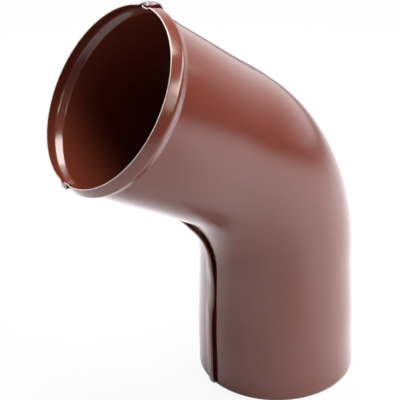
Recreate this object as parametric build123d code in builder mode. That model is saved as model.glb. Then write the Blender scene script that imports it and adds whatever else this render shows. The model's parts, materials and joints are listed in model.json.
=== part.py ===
from build123d import *
import os
from math import acos, atan2, cos, degrees, pi, radians, sin, tan

# Outlet elbow of a round downspout, in coated steel sheet.
# Two pressed half shells, split along the plane of the bend, are hooked together by
# a lock seam on the throat and another on the back of the bend.
# The origin is the centre of the plain end, which stands on XY. The mouth looks to -X and up.
# Lengths are in millimetres, angles in degrees.

# Sheet, the same in both halves
sheet = 0.6

# Plain end, which slides over the downspout pipe
pipe_diameter = 100.0
pipe_clearance = 0.2
socket_depth = 30.0
inlet_length = 83.4

# Bend: its centre line and the outside of the tube there
bend_angle = 57.0
bend_radius = 97.5
bend_diameter = 97.5

# Outlet leg, from the bend to the rim, with a straight collar at the mouth
outlet_length = 80.5
mouth_diameter = 101.6
collar_length = 16.0

# Stiffening bead pressed into the collar of each half. It stays behind a plain strip at the rim,
# and at each end it dives back into the wall, short of the seam.
rim_strip = 5.0
bead_width = 7.0
bead_height = 2.3
bead_dive = 8.0
bead_clearance = 1.5

# Lock seams: width from the foot of the step to the edge of the fold, the step's run,
# the room between layers, and the number of flats that each fold is pressed in
seam_width = 8.6
step_length = 3.0
seam_gap = 0.2
fold_flats = 4

# Outside radii along the run
socket_radius = pipe_diameter / 2 + pipe_clearance + sheet
tube_radius = bend_diameter / 2
mouth_radius = mouth_diameter / 2

# Seam layers, from the inside: right wall, left hook, right hook, left cover
layer_pitch = sheet + seam_gap
cover_rise = 3 * layer_pitch
fold_outside = layer_pitch + sheet / 2
fold_inside = fold_outside - sheet

# The cover climbs from the left wall in a slanted step. The inside of the step lags behind its
# outside, so that the sheet keeps its thickness on the slope.
step_slope = atan2(cover_rise, step_length)
step_lag = sheet * tan(step_slope / 2)
step_room = (fold_outside * (1 + cos(step_slope)) + seam_gap) / sin(step_slope)

# Places across the seam, along the wall from the plane of the bend, with the left half positive
step_foot = seam_width / 2
step_head = step_foot - step_length
left_fold = fold_outside - seam_width / 2
right_fold = step_foot - step_lag - step_room
left_hook_end = right_fold - seam_gap / 2
right_hook_end = left_fold + seam_gap / 2

# Frame of the outlet leg
turn = radians(bend_angle)
outlet_way = Vector(-sin(turn), 0, cos(turn))
bend_end = Vector(bend_radius * (cos(turn) - 1), 0, inlet_length + bend_radius * sin(turn))
bend_axis = Axis((-bend_radius, 0, inlet_length), (0, -1, 0))

# The bead is a round ring sunk into the wall. Its width and height show outside the wall.
bead_radius = (bead_width**2 / 4 + bead_height**2) / (2 * bead_height)
bead_ring = mouth_radius + bead_height - bead_radius
bead_centre = bend_end + outlet_way * (outlet_length - rim_strip - bead_width / 2)

# Turn by which the bead's crest sinks to the wall, and where on the wall that turn starts
crest_dive = bead_dive + bead_radius
sink_turn = acos(1 - bead_height / crest_dive)
dive_turn = 60
bead_start = degrees((seam_width / 2 + bead_clearance + crest_dive * sin(sink_turn)) / mouth_radius)


def inlet_plane(height):
    """Plane across the inlet leg, X to the back of the bend and Y to the left half."""
    return Plane(origin=(0, 0, height), x_dir=(1, 0, 0), z_dir=(0, 0, 1))


def outlet_plane(distance):
    """Plane across the outlet leg, X to the back of the bend and Y to the left half."""
    return Plane(origin=bend_end + outlet_way * distance, x_dir=(cos(turn), 0, sin(turn)), z_dir=outlet_way)


def spot(wall, radius, along):
    """Point of a section at a radius, a distance along the wall from the plane of the bend."""
    return (radius * cos(along / wall), radius * sin(along / wall))


def layer(wall, radius, start, end):
    """Stretch of a layer that follows the round wall."""
    CenterArc((0, 0), radius, degrees(start / wall), degrees((end - start) / wall))


def fold(wall, middle, along, radius, way):
    """Half turn of the sheet at the edge of the seam, in flats, swung towards the left half or the right one."""
    centre = Vector(*spot(wall, middle, along))
    start = degrees(along / wall)
    corners = []
    for flat in range(fold_flats + 1):
        swing = start + way * 180 * flat / fold_flats
        corners.append(centre + Vector(radius, 0).rotate(Axis.Z, swing))
    Polyline(*corners)


def step(wall, radius, lag):
    """Step of the left sheet, from the wall up to the cover."""
    Line(spot(wall, radius, step_foot - lag), spot(wall, radius + cover_rise, step_head - lag))


def left_section(plane, radius):
    """Left half across the run: a half ring that ends in a raised, hooked cover on both sides."""
    wall = radius - sheet
    crown = wall * pi / 2
    fold_middle = wall + layer_pitch + fold_outside
    with BuildSketch(plane) as section:
        with BuildLine():
            layer(wall, radius, crown, step_foot)
            step(wall, radius, 0)
            layer(wall, radius + cover_rise, step_head, left_fold)
            fold(wall, fold_middle, left_fold, fold_outside, -1)
            layer(wall, wall + layer_pitch, left_fold, left_hook_end)
            Line(
                spot(wall, wall + layer_pitch, left_hook_end), spot(wall, radius + layer_pitch, left_hook_end)
            )
            layer(wall, radius + layer_pitch, left_hook_end, left_fold)
            fold(wall, fold_middle, left_fold, fold_inside, -1)
            layer(wall, wall + cover_rise, left_fold, step_head - step_lag)
            step(wall, wall, step_lag)
            layer(wall, wall, step_foot - step_lag, crown)
            mirror(about=Plane.YZ)
        make_face()
    return section.sketch


def right_section(plane, radius):
    """Right half across the run: a half ring that runs on under the cover and hooks back."""
    wall = radius - sheet
    crown = -wall * pi / 2
    fold_middle = wall + fold_outside
    hook = wall + 2 * layer_pitch
    with BuildSketch(plane) as section:
        with BuildLine():
            layer(wall, radius, crown, right_fold)
            fold(wall, fold_middle, right_fold, fold_inside, 1)
            layer(wall, hook, right_fold, right_hook_end)
            Line(spot(wall, hook, right_hook_end), spot(wall, hook + sheet, right_hook_end))
            layer(wall, hook + sheet, right_hook_end, right_fold)
            fold(wall, fold_middle, right_fold, fold_outside, 1)
            layer(wall, wall, right_fold, crown)
            mirror(about=Plane.YZ)
        make_face()
    return section.sketch


def carry(section):
    """Carry a half's section from the plain end round the bend to the rim of the mouth."""
    collar_start = outlet_length - collar_length
    extrude(section(inlet_plane(0), socket_radius), amount=socket_depth)
    loft(
        [section(inlet_plane(socket_depth), socket_radius), section(inlet_plane(inlet_length), tube_radius)],
        ruled=True,
    )
    revolve(section(inlet_plane(inlet_length), tube_radius), axis=bend_axis, revolution_arc=bend_angle)
    loft([section(outlet_plane(0), tube_radius), section(outlet_plane(collar_start), mouth_radius)], ruled=True)
    extrude(section(outlet_plane(collar_start), mouth_radius), amount=collar_length)


def across_bead():
    """Plane across the collar at the middle of the bead."""
    return Plane(origin=bead_centre, x_dir=(cos(turn), 0, sin(turn)), z_dir=outlet_way)


def bead_form(start, radius):
    """Round rod along the bead of one half, from seam to seam, with its ends turned into the bore."""
    sweep_turn = 180 - 2 * bead_start
    first = radians(start)
    last = radians(start + sweep_turn)
    with BuildPart() as form:
        with BuildLine(across_bead()) as route:
            JernArc(
                (bead_ring * cos(first), bead_ring * sin(first)), (sin(first), -cos(first)), bead_dive, -dive_turn
            )
            CenterArc((0, 0), bead_ring, start, sweep_turn)
            JernArc((bead_ring * cos(last), bead_ring * sin(last)), (-sin(last), cos(last)), bead_dive, dive_turn)
        path = route.wire()
        with BuildSketch(Plane(origin=path @ 0, z_dir=path % 0)):
            Circle(radius)
        sweep(path=path)
    return form.part


def bead_swell(start):
    """Part of the rod that stands out of the wall."""
    with BuildPart() as swell:
        add(bead_form(start, bead_radius))
        with BuildSketch(across_bead()):
            Circle(mouth_radius - sheet / 2)
        extrude(amount=2 * bead_radius, both=True, mode=Mode.SUBTRACT)
    return swell.part


left_swell = bead_swell(bead_start)
left_groove = bead_form(bead_start, bead_radius - sheet)
right_swell = bead_swell(180 + bead_start)
right_groove = bead_form(180 + bead_start, bead_radius - sheet)

with BuildPart() as left_half_shell:
    carry(left_section)
    add(left_swell)
    add(left_groove, mode=Mode.SUBTRACT)

with BuildPart() as right_half_shell:
    carry(right_section)
    add(right_swell)
    add(right_groove, mode=Mode.SUBTRACT)

os.makedirs("parts", exist_ok=True)
left_half_shell.part.label = "left_half_shell"
export_step(left_half_shell.part, "parts/left_half_shell.step")
right_half_shell.part.label = "right_half_shell"
export_step(right_half_shell.part, "parts/right_half_shell.step")
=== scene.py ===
import bmesh
import bpy
import json
import math
from collections import namedtuple
from mathutils import Matrix, Vector


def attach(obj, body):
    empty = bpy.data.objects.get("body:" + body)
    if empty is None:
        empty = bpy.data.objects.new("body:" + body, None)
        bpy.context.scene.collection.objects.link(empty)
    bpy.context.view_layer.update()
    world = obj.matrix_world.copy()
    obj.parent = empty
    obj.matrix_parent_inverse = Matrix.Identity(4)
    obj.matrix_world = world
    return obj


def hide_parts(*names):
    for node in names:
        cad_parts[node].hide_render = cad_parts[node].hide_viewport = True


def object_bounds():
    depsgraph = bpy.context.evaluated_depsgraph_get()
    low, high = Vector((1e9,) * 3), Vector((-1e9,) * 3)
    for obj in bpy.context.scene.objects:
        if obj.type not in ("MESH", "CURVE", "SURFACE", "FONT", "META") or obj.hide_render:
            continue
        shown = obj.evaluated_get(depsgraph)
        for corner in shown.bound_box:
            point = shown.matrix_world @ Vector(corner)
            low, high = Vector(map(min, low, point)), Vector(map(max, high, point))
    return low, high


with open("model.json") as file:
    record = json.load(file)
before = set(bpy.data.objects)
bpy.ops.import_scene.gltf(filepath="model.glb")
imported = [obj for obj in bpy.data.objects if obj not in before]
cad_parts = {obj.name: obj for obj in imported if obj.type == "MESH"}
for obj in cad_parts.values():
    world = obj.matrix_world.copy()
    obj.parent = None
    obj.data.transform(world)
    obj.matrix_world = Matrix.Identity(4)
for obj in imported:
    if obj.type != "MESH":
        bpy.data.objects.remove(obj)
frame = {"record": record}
cad_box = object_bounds()

# Outlet elbow of a round downspout: two pressed half shells of red-brown coated steel sheet,
# hooked together by a lock seam on the throat and another on the back of the bend.
# Lengths are in millimetres and become metres when a mesh, lamp or camera is made.
MM = 0.001

# Plain end, read from the mount, and the sheet
socket = frame["record"]["mounts"][0]["dims"]
SHEET = 0.6
SOCKET_DEPTH = socket["length_mm"]
PLAIN_RADIUS = socket["r_mm"] + SHEET

# Run of the elbow: inlet leg, bend and outlet leg
INLET_LENGTH = 83.4
BEND_TURN = math.radians(57.0)
BEND_RADIUS = 97.5
TUBE_RADIUS = 97.5 / 2
OUTLET_LENGTH = 80.5
MOUTH_RADIUS = 101.6 / 2
COLLAR_LENGTH = 16.0
BEND_LENGTH = BEND_RADIUS * BEND_TURN
BEND_END = INLET_LENGTH + BEND_LENGTH
RUN_LENGTH = BEND_END + OUTLET_LENGTH
OUTLET_WAY = Vector((-math.sin(BEND_TURN), 0, math.cos(BEND_TURN)))

# Bead in the collar: a strip that leans up from the rim to the crest with a slight swell, a fall behind the
# crest, which is rounded off, and ends that fade towards each seam
RIM_RISE = 0.1
BEAD_FRONT = 6.2
BEAD_BACK = 4.5
BEAD_HEIGHT = 2.7
BEAD_SWELL = 0.1
BEAD_ROUND = 1.6
BEAD_FADE = 4.0
BEAD_END = 1.6

# Lock seams, from the inside: right wall, left hook, right hook and left cover. Places across a seam
# count along the wall from the plane of the bend, with the left half positive. Each hook keeps a least height
# over the wall where the seam is pressed.
LAYER_PITCH = 0.8
COVER_RISE = 3 * LAYER_PITCH

# Left half: a step up from the wall to the cover, a tight hem and a hook that drops from it.
# The seam's own points start a margin ahead of the step, and the cover's a margin past it.
STEP_FOOT = 5.1
STEP_LENGTH = 3.0
STEP_EASE = 0.4
LEFT_MARGIN = 1.0
COVER_MARGIN = 0.6
STEP_HEAD = STEP_FOOT - STEP_LENGTH
LEFT_START = STEP_FOOT + LEFT_MARGIN
COVER_START = STEP_HEAD - COVER_MARGIN
HEM_PLACE = -1.6
HEM_RADIUS = 0.36
COVER_LENGTH = COVER_START - HEM_PLACE
HOOK_DROP = 1.4
LEFT_HOOK_LEAST = 0.15

# Right half: a dip in front of the hem, which leaves a dark slot there, and a hook that is folded back
# under the cover. The seam's own points start a margin ahead of the dip.
DIP_START = -4.6
DIP_RUN = 2.0
RIGHT_MARGIN = 1.5
RIGHT_START = DIP_START - RIGHT_MARGIN
RIGHT_FOLD = 1.2
RIGHT_HOOK_END = 0.2
RIGHT_HOOK_LEAST = 0.3
SEAM_WIDTH = STEP_FOOT - DIP_START

# Form of a seam at a place along the run: how far its layers are pressed together, how far the hem droops,
# how far the right wall dips in front of it, and how far the seam sinks with the wall beside it
SeamForm = namedtuple("SeamForm", "place press droop dip sink")

# The back seam is pressed almost flat. At the mouth it rises into a cap and ends in an open stack
# of raw edges.
BACK_FORM = [
    SeamForm(0, 1.3, 0.2, 0.0, 0.0),
    SeamForm(SOCKET_DEPTH, 1.7, 0.2, 0.0, 0.5),
    SeamForm(RUN_LENGTH - 26, 1.7, 0.2, 0.0, 0.5),
    SeamForm(RUN_LENGTH - 18, 1.6, 0.2, 0.0, 0.1),
    SeamForm(RUN_LENGTH - 13, 0.7, 0.4, 0.0, 0.0),
    SeamForm(RUN_LENGTH - 6, -2.2, 0.2, 0.0, 0.0),
    SeamForm(RUN_LENGTH - 1, -0.5, 1.1, 0.0, 0.0),
    SeamForm(RUN_LENGTH, -0.3, 1.2, 0.8, 0.0),
]

# The throat seam stands open from the plain end to the bend, apart from a pinch below the bend.
# On the outlet leg it is pressed flat, up to the nick in the mouth's rim.
THROAT_FORM = [
    SeamForm(0, 0.9, 0.2, 0.1, 0.0),
    SeamForm(5, 0.0, 0.0, 1.3, 0.0),
    SeamForm(52, 0.0, 0.0, 1.5, 0.0),
    SeamForm(61, 1.4, 0.0, 1.1, 0.0),
    SeamForm(72, 1.4, 0.0, 1.1, 0.0),
    SeamForm(86, 0.0, 0.0, 1.5, 0.0),
    SeamForm(BEND_END - 25, 0.0, 0.0, 1.5, 0.0),
    SeamForm(BEND_END + 8, 1.1, 0.4, 0.2, 0.7),
    SeamForm(RUN_LENGTH - 22, 1.1, 0.5, 0.0, 0.7),
    SeamForm(RUN_LENGTH - 6, 1.1, 0.5, 0.0, 0.1),
    SeamForm(RUN_LENGTH - 2, 0.9, 0.4, 0.0, 0.0),
    SeamForm(RUN_LENGTH, 0.3, 0.0, 0.4, 0.0),
]
SINK_SPREAD = 9.0

# Sheared ends of the sheet: how far they bulge, and where on the sheet's thickness the bulge has its corners
EDGE_ROUND = 0.15
EDGE_SHARES = (0.25, 0.75)

# Fineness of the meshes: along the run, across the wall of a quarter ring, and across the seams
RUN_STEP = 2.2
COLLAR_STEP = 0.5
WALL_POINTS = 30
FOLD_PARTS = 10
STEP_SPACING = 0.25
LAYER_SPACING = 0.3
LEFT_HOOK_SPACING = 0.35
RIGHT_HOOK_SPACING = 0.5


def linear(hex_colour):
    """Linear RGBA of an sRGB hex colour."""
    out = []
    for i in (0, 2, 4):
        c = int(hex_colour[i:i + 2], 16) / 255
        out.append(c / 12.92 if c <= 0.04045 else ((c + 0.055) / 1.055) ** 2.4)
    return (*out, 1.0)


def soft_step(t):
    """Smooth climb from 0 to 1."""
    t = min(max(t, 0.0), 1.0)
    return t * t * (3 - 2 * t)


def soft_min(a, b, rounding):
    """Lesser of two values, with the corner between them rounded off."""
    blend = max(rounding - abs(a - b), 0.0)
    return min(a, b) - blend * blend / (4 * rounding)


def spread(start, end, step):
    """Even places from start up to end, without the end itself."""
    count = max(1, round((end - start) / step))
    return [start + (end - start) * i / count for i in range(count)]


def compass(azimuth, elevation):
    """Direction seen from the elbow, with the azimuth counted from +X to +Y, in degrees."""
    flat = math.cos(math.radians(elevation))
    azimuth = math.radians(azimuth)
    return Vector((flat * math.cos(azimuth), flat * math.sin(azimuth), math.sin(math.radians(elevation))))


# Run of the elbow

def wall_radius(along):
    """Outside radius of the wall at a distance along the run."""
    taper_in = soft_step((along - SOCKET_DEPTH) / (INLET_LENGTH - SOCKET_DEPTH))
    taper_out = soft_step((along - BEND_END) / (OUTLET_LENGTH - COLLAR_LENGTH))
    return PLAIN_RADIUS + (TUBE_RADIUS - PLAIN_RADIUS) * taper_in + (MOUTH_RADIUS - TUBE_RADIUS) * taper_out


def run_frame(along):
    """Centre of the run and the direction to the back of the bend, at a distance along the run."""
    turn = min(max((along - INLET_LENGTH) / BEND_RADIUS, 0.0), BEND_TURN)
    back = Vector((math.cos(turn), 0, math.sin(turn)))
    centre = Vector((-BEND_RADIUS, 0, INLET_LENGTH)) + back * BEND_RADIUS
    if along < INLET_LENGTH:
        centre.z = along
    if along > BEND_END:
        centre += OUTLET_WAY * (along - BEND_END)
    return centre, back


def stations():
    """Distances along the run at which the sheet has a ring of points, closer together in the collar."""
    collar_start = RUN_LENGTH - COLLAR_LENGTH
    return spread(0, collar_start, RUN_STEP) + spread(collar_start, RUN_LENGTH, COLLAR_STEP) + [RUN_LENGTH]


def bead_lift(along, reach):
    """Height of the collar's bead over the wall, at a reach along the wall from the plane of the bend."""
    behind = RUN_LENGTH - along
    climb = behind / BEAD_FRONT
    front = BEAD_HEIGHT * climb * (1 + BEAD_SWELL * (1 - climb))
    back = (BEAD_FRONT + BEAD_BACK - behind) / BEAD_BACK * BEAD_HEIGHT
    peak = soft_min(front, back, BEAD_ROUND)
    fade = soft_step((reach - BEAD_END) / BEAD_FADE)
    return max(peak + RIM_RISE, 0.0) * fade


def seam_form(knots, along):
    """Form of a seam at a distance along the run, eased from knot to knot."""
    for first, last in zip(knots, knots[1:]):
        if along < last.place:
            share = soft_step((along - first.place) / (last.place - first.place))
            return SeamForm(*[a + (b - a) * share for a, b in zip(first, last)])
    return knots[-1]


def sink_share(reach):
    """Share of a seam's sink that the wall takes at a reach from the middle of the seam."""
    return 1.0 - soft_step((abs(reach) - SEAM_WIDTH / 2) / SINK_SPREAD)


# Sections: the middle of the sheet as (reach along the wall, height over its inside) near one seam

def fold_points(reach, middle, radius, way):
    """Half turn of the sheet from the upper layer to the lower one, bulging along the wall by way."""
    points = []
    for i in range(1, FOLD_PARTS):
        swing = math.pi * i / FOLD_PARTS
        points.append((reach + way * radius * math.sin(swing), middle + radius * math.cos(swing)))
    return points


def left_seam(form):
    """Left sheet at a seam, from the wall over step and cover, round the hem to the end of the hook."""
    wall = SHEET / 2
    cover = wall + COVER_RISE - form.press
    hem_top = cover - form.droop
    hem_foot = hem_top - 2 * HEM_RADIUS
    hook = wall + max(LAYER_PITCH - form.press, LEFT_HOOK_LEAST)
    points = []
    for reach in spread(LEFT_START, COVER_START, STEP_SPACING):
        climb = soft_step((STEP_FOOT + STEP_EASE - reach) / (STEP_LENGTH + 2 * STEP_EASE))
        points.append((reach, wall + (cover - wall) * climb))
    for reach in spread(COVER_START, HEM_PLACE, LAYER_SPACING):
        points.append((reach, cover - form.droop * soft_step((COVER_START - reach) / COVER_LENGTH)))
    points.append((HEM_PLACE, hem_top))
    points += fold_points(HEM_PLACE, hem_top - HEM_RADIUS, HEM_RADIUS, -1)
    for reach in spread(HEM_PLACE, RIGHT_FOLD, LEFT_HOOK_SPACING):
        points.append((reach, hem_foot + (hook - hem_foot) * soft_step((reach - HEM_PLACE) / HOOK_DROP)))
    points.append((RIGHT_FOLD, hook))
    return points


def right_seam(form):
    """Right sheet at a seam, from the wall into the dip, round its fold and back to the end of the hook."""
    wall = SHEET / 2
    low = wall - form.dip
    high = wall + max(2 * LAYER_PITCH - form.press, RIGHT_HOOK_LEAST)
    points = []
    for reach in spread(RIGHT_START, RIGHT_FOLD, LAYER_SPACING):
        points.append((reach, wall - form.dip * soft_step((reach - DIP_START) / DIP_RUN)))
    points.append((RIGHT_FOLD, low))
    points += reversed(fold_points(RIGHT_FOLD, (low + high) / 2, (high - low) / 2, 1))
    for reach in spread(RIGHT_FOLD, RIGHT_HOOK_END, RIGHT_HOOK_SPACING):
        points.append((reach, high))
    points.append((RIGHT_HOOK_END, high))
    return points


def half_ring(seam, along):
    """Middle of a half's sheet at one station, as (angle from the back, height over the wall's inside)."""
    inside = wall_radius(along) - SHEET
    back = seam_form(BACK_FORM, along)
    throat = seam_form(THROAT_FORM, along)
    back_seam = seam(back)
    first = back_seam[0][0]
    side = math.copysign(1, first)
    crown = side * inside * math.pi / 2
    ring = []
    for reach, height in reversed(back_seam):
        ring.append((reach / inside, height - back.sink + bead_lift(along, abs(reach))))
    for i in range(1, 2 * WALL_POINTS):
        reach = first + (crown - first) * i / WALL_POINTS
        other = 2 * crown - reach
        lift = bead_lift(along, min(abs(reach), abs(other)))
        sink = back.sink * sink_share(reach) + throat.sink * sink_share(other)
        ring.append((reach / inside, SHEET / 2 + lift - sink))
    for reach, height in seam(throat):
        ring.append((side * math.pi - reach / inside, height - throat.sink + bead_lift(along, abs(reach))))
    return ring


def sheet_rows(seam):
    """Outer and inner face of a half's sheet, one pair of point rows for each station."""
    rows = []
    for along in stations():
        centre, back = run_frame(along)
        inside = wall_radius(along) - SHEET
        middle = []
        for angle, height in half_ring(seam, along):
            middle.append(Vector((math.cos(angle), math.sin(angle))) * (inside + height))
        faces = ([], [])
        for i, point in enumerate(middle):
            way = middle[min(i + 1, len(middle) - 1)] - middle[max(i - 1, 0)]
            across = Vector((-way.y, way.x)).normalized() * (SHEET / 2)
            for face, offset in zip(faces, (point + across, point - across)):
                face.append(centre + back * offset.x + Vector((0, offset.y, 0)))
        rows.append(faces)
    return rows


# Half shells

def sheet_mesh(name, rows):
    """Mesh of a sheet: coated faces outside and inside, bare cut edges at its ends and hooks."""
    width = len(rows[0][0])
    last = len(rows) - 1
    points = []
    for outer, inner in rows:
        points += [p * MM for p in outer + inner]
    for (outer, inner), way in ((rows[0], Vector((0, 0, -1))), (rows[-1], OUTLET_WAY)):
        for share in EDGE_SHARES:
            points += [(a.lerp(b, share) + way * EDGE_ROUND) * MM for a, b in zip(outer, inner)]

    def spot(row, side, i):
        return (2 * row + side) * width + i

    def bulge(end, corner, i):
        return (2 * (len(rows) + end) + corner) * width + i

    coated = []
    cut = []
    for row in range(last):
        up = row + 1
        for i in range(width - 1):
            coated.append((spot(row, 0, i), spot(row, 0, i + 1), spot(up, 0, i + 1), spot(up, 0, i)))
            coated.append((spot(row, 1, i), spot(up, 1, i), spot(up, 1, i + 1), spot(row, 1, i + 1)))
        for i in (0, width - 1):
            cut.append((spot(row, 0, i), spot(up, 0, i), spot(up, 1, i), spot(row, 1, i)))
    for i in range(width - 1):
        for end, row in enumerate((0, last)):
            here, there = [
                (spot(row, 0, k), bulge(end, 0, k), bulge(end, 1, k), spot(row, 1, k)) for k in (i, i + 1)
            ]
            for k in range(len(here) - 1):
                cut.append((here[k], here[k + 1], there[k + 1], there[k]))
    mesh = bpy.data.meshes.new(name)
    mesh.from_pydata(points, [], coated + cut)
    for polygon in mesh.polygons:
        polygon.use_smooth = True
        polygon.material_index = 0 if polygon.index < len(coated) else 1
    turn_outwards(mesh)
    return mesh


def turn_outwards(mesh):
    """Turn every face of a mesh outwards."""
    work = bmesh.new()
    work.from_mesh(mesh)
    bmesh.ops.recalc_face_normals(work, faces=work.faces)
    work.to_mesh(mesh)
    work.free()


def half_shell(name, node, seam, coat, edge):
    """Half shell with its two materials, in the place of its CAD node."""
    mesh = sheet_mesh(name, sheet_rows(seam))
    mesh.materials.append(coat)
    mesh.materials.append(edge)
    shell = bpy.data.objects.new(name, mesh)
    bpy.context.collection.objects.link(shell)
    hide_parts(node)
    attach(shell, "root")


# Materials. The coating's grain has a width and a depth at the coarse end for such films, so that it shows.
GRAIN_WIDTH = 0.9
GRAIN_DEPTH = 0.2
GRAIN_STRENGTH = 0.15


def add_node(tree, kind, settings=()):
    """Add a node, set its sockets and properties, and link sockets that are given as outputs."""
    node = tree.nodes.new(kind)
    for key, value in dict(settings).items():
        if isinstance(key, str) and hasattr(node, key) and key not in node.inputs:
            setattr(node, key, value)
        elif isinstance(value, bpy.types.NodeSocket):
            tree.links.new(value, node.inputs[key])
        else:
            node.inputs[key].default_value = value
    return node


def new_material(name):
    """Empty node material and its tree."""
    material = bpy.data.materials.new(name)
    material.use_nodes = True
    material.node_tree.nodes.clear()
    return material, material.node_tree


def coated_steel():
    """Polyester coating on steel sheet, rolled on as a coil and stoved."""
    # The film is an even red-brown with a soft gloss, and the roller leaves a fine grain in it.
    material, tree = new_material("polyester_coil_coated_steel")
    place = add_node(tree, "ShaderNodeTexCoord").outputs["Object"]
    grain = add_node(tree, "ShaderNodeTexNoise", {
        "Vector": place, "Scale": 1 / (GRAIN_WIDTH * MM), "Detail": 2.0,
    })
    bump = add_node(tree, "ShaderNodeBump", {
        "Height": grain.outputs["Fac"], "Strength": GRAIN_STRENGTH, "Distance": GRAIN_DEPTH * MM,
    })
    paint = add_node(tree, "ShaderNodeBsdfPrincipled", {
        "Base Color": linear("7d3a2a"), "Roughness": 0.2, "IOR": 1.5, "Normal": bump.outputs["Normal"],
        "Coat Weight": 1.0, "Coat Roughness": 0.15, "Coat Normal": bump.outputs["Normal"],
    })
    add_node(tree, "ShaderNodeOutputMaterial", {"Surface": paint.outputs["BSDF"]})
    return material


def sheared_edge():
    """Sheared edge of galvanised sheet, with zinc smeared over the torn steel."""
    # It has no film and is too rough to mirror. Its near-white colour is partly the pale zinc and partly a
    # painted highlight, standing in for the glints on its rounded cut, so it shows as a pale, nearly matt
    # line.
    material, tree = new_material("sheared_galvanised_edge_painted_glint")
    # Painted highlight: the near-white base colour without metal stands in for the glints on the rounded cut
    # edge.
    metal = add_node(tree, "ShaderNodeBsdfPrincipled", {
        "Base Color": linear("f8f0ea"), "Metallic": 0.0, "Roughness": 0.35,
    })
    add_node(tree, "ShaderNodeOutputMaterial", {"Surface": metal.outputs["BSDF"]})
    return material


# Studio: a white sweep behind the elbow and a dim room in front of it. The edge and the core say how close
# to the sweep's own direction its light starts and is full.
SWEEP_WAY = compass(40, -30)
SWEEP_EDGE = 0.2
SWEEP_CORE = 0.95
SWEEP_LEVEL = 1.0
ROOM_LEVEL = 0.06

# Paper floor with painted shade: its colour greys towards the front left, standing in for the elbow's shadow
# there, which the lower leg mirrors. The camera sees a large share of it as plain white, and mirrored rays a
# small one.
FLOOR_HALF = 4000.0
FLOOR_GAP = 0.2
PAINTED_SHADE_WAY = compass(-160, 0)
PAINTED_SHADE_START = 25.0
PAINTED_SHADE_END = 110.0
WHITE_SEEN = 0.9
WHITE_MIRRORED = 0.05

# Softboxes, all aimed at the bend
LAMP_AIM = Vector((-40.0, 0, 130.0))
WARM_WHITE = "fffaf4"
WHITE = "ffffff"


def studio_floor():
    """Matt white paper that the camera sees as nearly white, with a soft shadow under the elbow and painted
    shade towards the front left.
    """
    mesh = bpy.data.meshes.new("floor")
    half = FLOOR_HALF * MM
    low = cad_box[0][2] - FLOOR_GAP * MM
    corners = [(-half, -half, low), (half, -half, low), (half, half, low), (-half, half, low)]
    mesh.from_pydata(corners, [], [(0, 1, 2, 3)])
    material, tree = new_material("white_paper_with_painted_shade")
    path = add_node(tree, "ShaderNodeLightPath")
    place = add_node(tree, "ShaderNodeTexCoord").outputs["Object"]
    # Painted shade: the paper's colour goes from f8f8ff to d8d8dc towards the front left, standing in for the
    # elbow's shadow there.
    ahead = add_node(tree, "ShaderNodeVectorMath", {"operation": "DOT_PRODUCT", 0: place, 1: PAINTED_SHADE_WAY})
    shade = add_node(tree, "ShaderNodeMapRange", {
        "interpolation_type": "SMOOTHSTEP", "Value": ahead.outputs["Value"],
        "From Min": PAINTED_SHADE_START * MM, "From Max": PAINTED_SHADE_END * MM,
    })
    # A mix node has sockets of the same name for numbers and colours, so these go by their place.
    paper = add_node(tree, "ShaderNodeMix", {
        "data_type": "RGBA", 0: shade.outputs["Result"], 6: linear("f8f8ff"), 7: linear("d8d8dc"),
    })
    matt = add_node(tree, "ShaderNodeBsdfDiffuse", {"Color": paper.outputs[2]})
    glow = add_node(tree, "ShaderNodeEmission", {"Color": linear(WHITE), "Strength": 1.0})
    mirrored = add_node(tree, "ShaderNodeMath", {
        "operation": "MAXIMUM", 0: path.outputs["Is Glossy Ray"], 1: path.outputs["Is Transmission Ray"],
    })
    seen = add_node(tree, "ShaderNodeMath", {
        "operation": "MULTIPLY", 0: path.outputs["Is Camera Ray"], 1: WHITE_SEEN,
    })
    share = add_node(tree, "ShaderNodeMath", {
        "operation": "MULTIPLY_ADD", 0: mirrored.outputs[0], 1: WHITE_MIRRORED, 2: seen.outputs[0],
    })
    mixed = add_node(tree, "ShaderNodeMixShader", {
        0: share.outputs[0], 1: matt.outputs["BSDF"], 2: glow.outputs["Emission"],
    })
    add_node(tree, "ShaderNodeOutputMaterial", {"Surface": mixed.outputs[0]})
    mesh.materials.append(material)
    floor = bpy.data.objects.new("floor", mesh)
    bpy.context.collection.objects.link(floor)


def studio_world():
    """Room round the table: white to the camera, a white sweep behind the elbow, a dimmer room in front."""
    world = bpy.data.worlds.new("white_sweep")
    bpy.context.scene.world = world
    world.use_nodes = True
    tree = world.node_tree
    tree.nodes.clear()
    path = add_node(tree, "ShaderNodeLightPath")
    way = add_node(tree, "ShaderNodeTexCoord").outputs["Generated"]
    behind = add_node(tree, "ShaderNodeVectorMath", {"operation": "DOT_PRODUCT", 0: way, 1: SWEEP_WAY})
    level = add_node(tree, "ShaderNodeMapRange", {
        "interpolation_type": "SMOOTHSTEP", "Value": behind.outputs["Value"],
        "From Min": SWEEP_EDGE, "From Max": SWEEP_CORE, "To Min": ROOM_LEVEL, "To Max": SWEEP_LEVEL,
    })
    room = add_node(tree, "ShaderNodeBackground", {
        "Color": linear("f6f6ff"), "Strength": level.outputs["Result"],
    })
    white = add_node(tree, "ShaderNodeBackground", {"Color": linear(WHITE), "Strength": 1.0})
    mirrored = add_node(tree, "ShaderNodeMath", {
        "operation": "MAXIMUM", 0: path.outputs["Is Glossy Ray"], 1: path.outputs["Is Transmission Ray"],
    })
    shown = add_node(tree, "ShaderNodeMath", {
        "operation": "MULTIPLY", 0: mirrored.outputs[0], 1: level.outputs["Result"],
    })
    share = add_node(tree, "ShaderNodeMath", {
        "operation": "MAXIMUM", 0: path.outputs["Is Camera Ray"], 1: shown.outputs[0],
    })
    mixed = add_node(tree, "ShaderNodeMixShader", {
        0: share.outputs[0], 1: room.outputs[0], 2: white.outputs[0],
    })
    add_node(tree, "ShaderNodeOutputWorld", {"Surface": mixed.outputs[0]})


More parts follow.
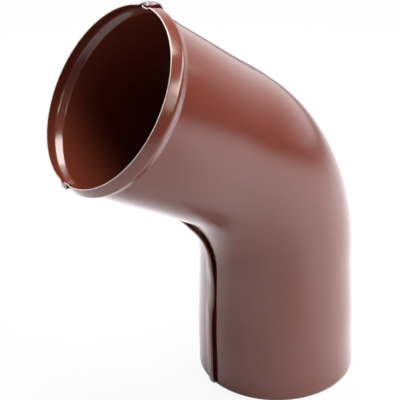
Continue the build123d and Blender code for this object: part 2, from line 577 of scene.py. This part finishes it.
def softbox(name, way, distance, width, height, watts, colour):
    """Softbox that looks at the elbow from a direction."""
    lamp = bpy.data.lights.new(name, "AREA")
    lamp.shape = "RECTANGLE"
    lamp.size = width * MM
    lamp.size_y = height * MM
    lamp.energy = watts
    lamp.color = linear(colour)[:3]
    box = bpy.data.objects.new(name, lamp)
    box.location = (LAMP_AIM + way * distance) * MM
    box.rotation_euler = way.to_track_quat("Z", "Y").to_euler()
    box.visible_camera = False
    bpy.context.collection.objects.link(box)


# Camera, fitted to the photograph: where it looks from, how far it stands and the picture's own turn
CAMERA_AZIMUTH = math.radians(-33.23)
CAMERA_PITCH = math.radians(25.89)
CAMERA_ROLL = math.radians(-2.40)
CAMERA_DISTANCE = 578.35
FOCAL_PIXELS = 931.21
FRAME_PIXELS = 400
AIM_ASIDE = -46.5
AIM_HEIGHT = 117.15
SENSOR = 36.0


def photo_camera():
    """Camera at the photograph's viewing angle."""
    flat = math.cos(CAMERA_PITCH)
    back = Vector((math.sin(CAMERA_AZIMUTH) * flat, -math.cos(CAMERA_AZIMUTH) * flat, math.sin(CAMERA_PITCH)))
    right = Vector((0, 0, 1)).cross(back).normalized()
    up = back.cross(right)
    aim = Vector((0, 0, AIM_HEIGHT)) + right * AIM_ASIDE
    turned_right = right * math.cos(CAMERA_ROLL) + up * math.sin(CAMERA_ROLL)
    turned_up = up * math.cos(CAMERA_ROLL) - right * math.sin(CAMERA_ROLL)
    data = bpy.data.cameras.new("photo_camera")
    data.sensor_width = SENSOR
    data.lens = FOCAL_PIXELS / FRAME_PIXELS * SENSOR
    camera = bpy.data.objects.new("photo_camera", data)
    axes = Matrix((turned_right, turned_up, back)).transposed().to_4x4()
    camera.matrix_world = Matrix.Translation((aim + back * CAMERA_DISTANCE) * MM) @ axes
    bpy.context.collection.objects.link(camera)
    bpy.context.scene.camera = camera


coat = coated_steel()
edge = sheared_edge()
half_shell("left_shell_sheet", "left_half_shell", left_seam, coat, edge)
half_shell("right_shell_sheet", "right_half_shell", right_seam, coat, edge)

studio_floor()
studio_world()
softbox("overhead_softbox", compass(0, 81), 1050.0, width=600.0, height=600.0, watts=10.5, colour=WARM_WHITE)
softbox("key_softbox", compass(-45, 38), 1000.0, width=1100.0, height=280.0, watts=5.5, colour=WARM_WHITE)
softbox("side_card", compass(-83, 33), 1000.0, width=420.0, height=420.0, watts=1.3, colour=WARM_WHITE)
softbox("back_softbox", compass(88, 50), 1200.0, width=1200.0, height=1000.0, watts=10.0, colour=WHITE)
photo_camera()
bpy.context.scene.view_settings.view_transform = "Standard"
